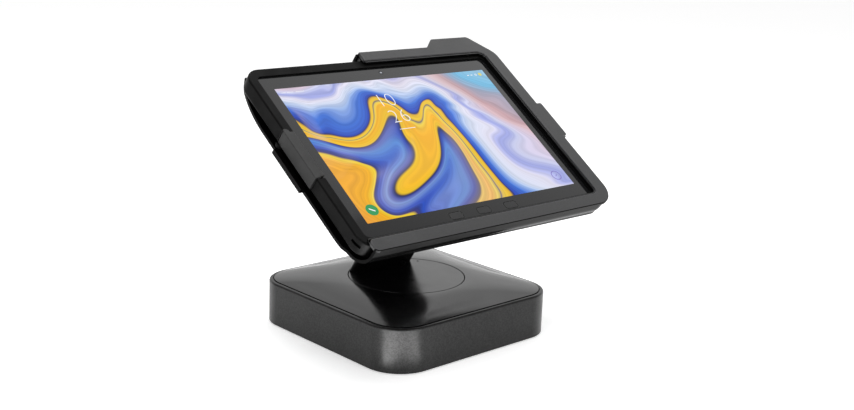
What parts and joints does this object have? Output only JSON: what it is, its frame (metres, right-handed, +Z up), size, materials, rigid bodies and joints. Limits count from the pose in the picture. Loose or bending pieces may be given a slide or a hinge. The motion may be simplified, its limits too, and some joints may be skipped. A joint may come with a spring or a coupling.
{
  "type": "tablet docking station",
  "caption": "Tablet docking station: weighted square base with rear sockets, swivel disc, leaning neck and tilting cradle that locks a tablet in its rugged case.",
  "frame": {"origin": "on the table, under the swivel axis, on the face of the anti-slip mat", "axes": "+Z up, front towards -Y, the sockets face +Y"},
  "size_m": [0.2713, 0.1907, 0.2229],
  "materials": {
    "base_paint": "satin",
    "mat_rubber": "matte",
    "steel": "satin",
    "screw_steel": "satin",
    "spring_steel": "satin",
    "ballast_iron": "matte",
    "bronze": "satin",
    "cover_black": "glossy",
    "board_green": "satin",
    "socket_metal": "satin",
    "socket_plastic": "matte",
    "disc_black": "glossy",
    "neck_alloy": "satin",
    "neck_black": "satin",
    "cable_black": "matte",
    "cradle_paint": "satin",
    "frame_paint": "satin",
    "housing_plastic": "matte",
    "liner_gloss": "glossy",
    "guide_plastic": "matte",
    "pad_rubber": "matte",
    "lock_metal": "polished",
    "tablet_body": "matte",
    "display": "glossy",
    "screen_glass": "polished",
    "camera_black": "glossy",
    "battery_wrap": "satin",
    "case_rubber": "matte",
    "case_plastic": "matte",
    "key_plastic": "satin",
    "edge_key_plastic": "matte"
  },
  "bodies": {
    "base": {"base_shell": "base_paint", "anti_slip_mat": "mat_rubber", "bottom_plate": "steel", "bottom_screws": "screw_steel", "ballast_weight": "ballast_iron", "plate_pillars": "steel", "bearing_plate": "steel", "pillar_screws": "screw_steel", "swivel_bush": "bronze", "top_cover": "cover_black", "cover_screws": "screw_steel", "dock_board": "board_green", "ethernet_port": "socket_metal", "usb_a_ports": "socket_metal", "video_port": "socket_metal", "usb_c_port": "socket_metal", "power_inlet": "socket_plastic"},
    "swivel": {"spindle": "steel", "spring_washer": "spring_steel", "spindle_nut": "steel", "swivel_disc": "disc_black", "foot_screws": "screw_steel", "neck_core": "neck_alloy", "neck_front_cover": "neck_black", "neck_rear_cover": "neck_black", "neck_screws": "screw_steel", "neck_harness": "cable_black"},
    "cradle": {"hinge_bracket": "steel", "hinge_pin": "steel", "hinge_washers": "spring_steel", "hinge_nut": "steel", "bracket_screws": "screw_steel", "back_tray": "cradle_paint", "rear_housing": "housing_plastic", "housing_screws": "screw_steel", "cradle_board": "board_green", "front_frame": "frame_paint", "frame_liner": "liner_gloss", "side_guides": "guide_plastic", "tray_pads": "pad_rubber", "dock_connector": "socket_plastic"},
    "lock": {"lock_barrel": "lock_metal", "lock_cam": "steel"},
    "tablet": {"tablet_housing": "tablet_body", "display_panel": "display", "cover_glass": "screen_glass", "front_camera": "camera_black", "tablet_battery": "battery_wrap", "tablet_board": "board_green", "case_bumper": "case_rubber", "case_back": "case_plastic"},
    "flap": {"port_flap": "case_rubber"},
    "key_left": {"front_key_left": "key_plastic"},
    "key_middle": {"front_key_middle": "key_plastic"},
    "key_right": {"front_key_right": "key_plastic"},
    "key_power": {"power_key": "edge_key_plastic"},
    "key_volume": {"volume_key": "edge_key_plastic"}
  },
  "joints": [
    {"name": "swivel_turn", "type": "hinge", "parent": "base", "child": "swivel", "pos_m": [0, 0, 0.03], "axis": [0, 0, 1], "range_deg": [-170, 170]},
    {"name": "cradle_tilt", "type": "hinge", "parent": "swivel", "child": "cradle", "pos_m": [0, -0.01711, 0.11936], "axis": [1, 0, 0], "range_deg": [-20, 40]},
    {"name": "tablet_slide", "type": "slide", "parent": "cradle", "child": "tablet", "axis": [-1, 0, 0], "range_m": [0, 0.255]},
    {"name": "lock_turn", "type": "hinge", "parent": "cradle", "child": "lock", "pos_m": [0.093, 0.06022, 0.21132], "axis": [0, 0.5779, -0.8161], "range_deg": [0, 90]},
    {"name": "flap_hinge", "type": "hinge", "parent": "tablet", "child": "flap", "pos_m": [-0.12523, -0.00182, 0.16863], "axis": [0, 0.5779, -0.8161], "range_deg": [0, 95]},
    {"name": "key_left_press", "type": "slide", "parent": "tablet", "child": "key_left", "axis": [0, 0.5779, -0.8161], "range_m": [0, 0.0004], "stiffness_N_per_m": 1000, "springref_m": -0.0003},
    {"name": "key_middle_press", "type": "slide", "parent": "tablet", "child": "key_middle", "axis": [0, 0.5779, -0.8161], "range_m": [0, 0.0004], "stiffness_N_per_m": 1000, "springref_m": -0.0003},
    {"name": "key_right_press", "type": "slide", "parent": "tablet", "child": "key_right", "axis": [0, 0.5779, -0.8161], "range_m": [0, 0.0004], "stiffness_N_per_m": 1000, "springref_m": -0.0003},
    {"name": "key_power_press", "type": "slide", "parent": "tablet", "child": "key_power", "axis": [0, -0.8161, -0.5779], "range_m": [0, 0.0006], "stiffness_N_per_m": 1000, "springref_m": -0.0003},
    {"name": "key_volume_press", "type": "slide", "parent": "tablet", "child": "key_volume", "axis": [0, -0.8161, -0.5779], "range_m": [0, 0.0006], "stiffness_N_per_m": 1000, "springref_m": -0.0003}
  ]
}
